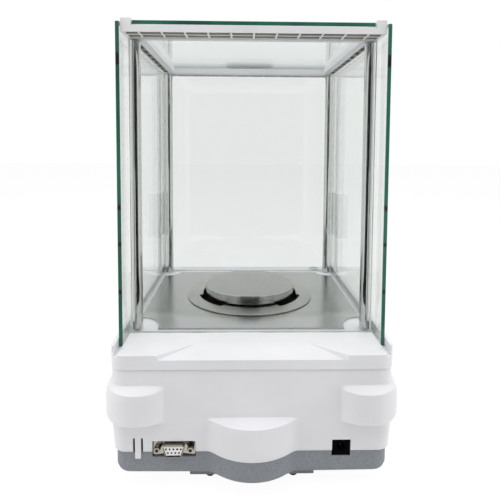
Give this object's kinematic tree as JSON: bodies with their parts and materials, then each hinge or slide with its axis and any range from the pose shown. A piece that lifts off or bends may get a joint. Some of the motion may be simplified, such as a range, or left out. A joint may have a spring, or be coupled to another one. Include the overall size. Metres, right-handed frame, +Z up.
{
  "type": "precision balance",
  "caption": "Laboratory balance with a glass draft chamber, sliding side and top doors, round steel pan, draft ring, sloped key panel and levelling feet.",
  "frame": {"origin": "on the table under the middle of the overall box", "axes": "+Z up, -Y toward the key panel, +Y toward the sockets, +X across"},
  "size_m": [0.2362, 0.341, 0.3583],
  "materials": {
    "white_plastic": "cool white moulded plastic, satin",
    "clear_plastic": "clear moulded plastic",
    "grey_plastic": "blue-grey moulded plastic with a fine texture",
    "clear_glass": "clear pane with green edges",
    "polished_steel": "polished stainless",
    "satin_steel": "satin stainless sheet",
    "black_rubber": "dull black rubber",
    "black_plastic": "black moulded plastic",
    "dark_lens": "smoked clear window",
    "display_grey": "unlit display",
    "board_green": "coated circuit board",
    "key_grey": "soft key cap",
    "cast_aluminium": "machined aluminium",
    "bright_nickel": "bright plated metal",
    "white_insulator": "white insulator",
    "copper_wire": "lacquered copper winding",
    "black_steel": "black coated steel",
    "vial_liquid": "clear vial with green liquid"
  },
  "bodies": {
    "casing": {"upper_housing": "white_plastic", "deck_cover": "white_plastic", "control_panel": "white_plastic", "level_ring": "white_plastic", "rear_top_rail": "white_plastic", "front_top_rail": "white_plastic", "left_top_rail": "white_plastic", "right_top_rail": "white_plastic", "base_tray": "grey_plastic", "front_glass": "clear_glass", "rear_glass": "clear_glass", "post_rear_left": "polished_steel", "post_rear_right": "polished_steel", "post_front_left": "polished_steel", "post_front_right": "polished_steel", "floor_plate": "satin_steel", "rear_foot_left": "black_rubber", "rear_foot_right": "black_rubber", "power_socket": "black_plastic", "position_sensor": "black_plastic", "display_window": "dark_lens", "display_module": "display_grey", "key_board": "board_green", "main_board": "board_green", "cell_plate": "cast_aluminium", "cell_frame": "cast_aluminium", "lever_beam": "cast_aluminium", "serial_shell": "bright_nickel", "jackscrew_left": "bright_nickel", "jackscrew_right": "bright_nickel", "power_pin": "bright_nickel", "pan_spindle": "bright_nickel", "serial_insulator": "white_insulator", "force_coil": "copper_wire", "pan_well": "black_steel", "magnet_pot": "black_steel", "level_vial": "vial_liquid"},
    "left_door": {"left_door_glass": "clear_glass", "left_door_handle": "clear_plastic", "left_door_shoe_front": "black_plastic", "left_door_shoe_rear": "black_plastic"},
    "right_door": {"right_door_glass": "clear_glass", "right_door_handle": "clear_plastic", "right_door_shoe_front": "black_plastic", "right_door_shoe_rear": "black_plastic"},
    "top_door": {"top_door_glass": "clear_glass", "top_door_handle": "white_plastic"},
    "draft_ring_body": {"draft_ring": "satin_steel"},
    "pan_body": {"weighing_pan": "satin_steel", "pan_cone": "cast_aluminium"},
    "left_pad_body": {"levelling_pad_left": "black_rubber"},
    "right_pad_body": {"levelling_pad_right": "black_rubber"},
    "left_knob_body": {"levelling_knob_left": "black_plastic"},
    "right_knob_body": {"levelling_knob_right": "black_plastic"},
    "key_power_body": {"key_power": "key_grey"},
    "key_zero_body": {"key_zero": "key_grey"},
    "key_unit_body": {"key_unit": "key_grey"},
    "key_mode_body": {"key_mode": "key_grey"},
    "key_print_body": {"key_print": "key_grey"},
    "key_cal_body": {"key_cal": "key_grey"}
  },
  "joints": [
    {"name": "left_door_slide", "type": "slide", "parent": "casing", "child": "left_door", "axis": [0, 1, 0], "range_m": [0, 0.15]},
    {"name": "right_door_slide", "type": "slide", "parent": "casing", "child": "right_door", "axis": [0, 1, 0], "range_m": [0, 0.15]},
    {"name": "top_door_slide", "type": "slide", "parent": "casing", "child": "top_door", "axis": [0, 1, 0], "range_m": [0, 0.15]},
    {"name": "draft_ring_lift", "type": "slide", "parent": "casing", "child": "draft_ring_body", "axis": [0, 0, 1], "range_m": [0, 0.03]},
    {"name": "pan_lift", "type": "slide", "parent": "draft_ring_body", "child": "pan_body", "axis": [0, 0, 1], "range_m": [0, 0.05]},
    {"name": "left_pad_height", "type": "slide", "parent": "casing", "child": "left_pad_body", "axis": [0, 0, -1], "range_m": [-0.002, 0.004]},
    {"name": "left_knob_turn", "type": "hinge", "parent": "left_pad_body", "child": "left_knob_body", "pos_m": [0.074, -0.134, 0.005], "axis": [0, 0, -1], "range_deg": [-720, 1440]},
    {"name": "right_pad_height", "type": "slide", "parent": "casing", "child": "right_pad_body", "axis": [0, 0, -1], "range_m": [-0.002, 0.004]},
    {"name": "right_knob_turn", "type": "hinge", "parent": "right_pad_body", "child": "right_knob_body", "pos_m": [-0.074, -0.134, 0.005], "axis": [0, 0, -1], "range_deg": [-720, 1440]},
    {"name": "key_power_press", "type": "slide", "parent": "casing", "child": "key_power_body", "axis": [0, 0.4997, -0.8662], "range_m": [0, 0.0008], "stiffness_N_per_m": 1000, "springref_m": -0.0006},
    {"name": "key_zero_press", "type": "slide", "parent": "casing", "child": "key_zero_body", "axis": [0, 0.4997, -0.8662], "range_m": [0, 0.0008], "stiffness_N_per_m": 1000, "springref_m": -0.0006},
    {"name": "key_unit_press", "type": "slide", "parent": "casing", "child": "key_unit_body", "axis": [0, 0.4997, -0.8662], "range_m": [0, 0.0008], "stiffness_N_per_m": 1000, "springref_m": -0.0006},
    {"name": "key_mode_press", "type": "slide", "parent": "casing", "child": "key_mode_body", "axis": [0, 0.4997, -0.8662], "range_m": [0, 0.0008], "stiffness_N_per_m": 1000, "springref_m": -0.0006},
    {"name": "key_print_press", "type": "slide", "parent": "casing", "child": "key_print_body", "axis": [0, 0.4997, -0.8662], "range_m": [0, 0.0008], "stiffness_N_per_m": 1000, "springref_m": -0.0006},
    {"name": "key_cal_press", "type": "slide", "parent": "casing", "child": "key_cal_body", "axis": [0, 0.4997, -0.8662], "range_m": [0, 0.0008], "stiffness_N_per_m": 1000, "springref_m": -0.0006}
  ],
  "couplings": [
    {"joint": "left_knob_turn", "follows": "left_pad_height", "rad_per_m": 6283.2},
    {"joint": "right_knob_turn", "follows": "right_pad_height", "rad_per_m": 6283.2}
  ]
}
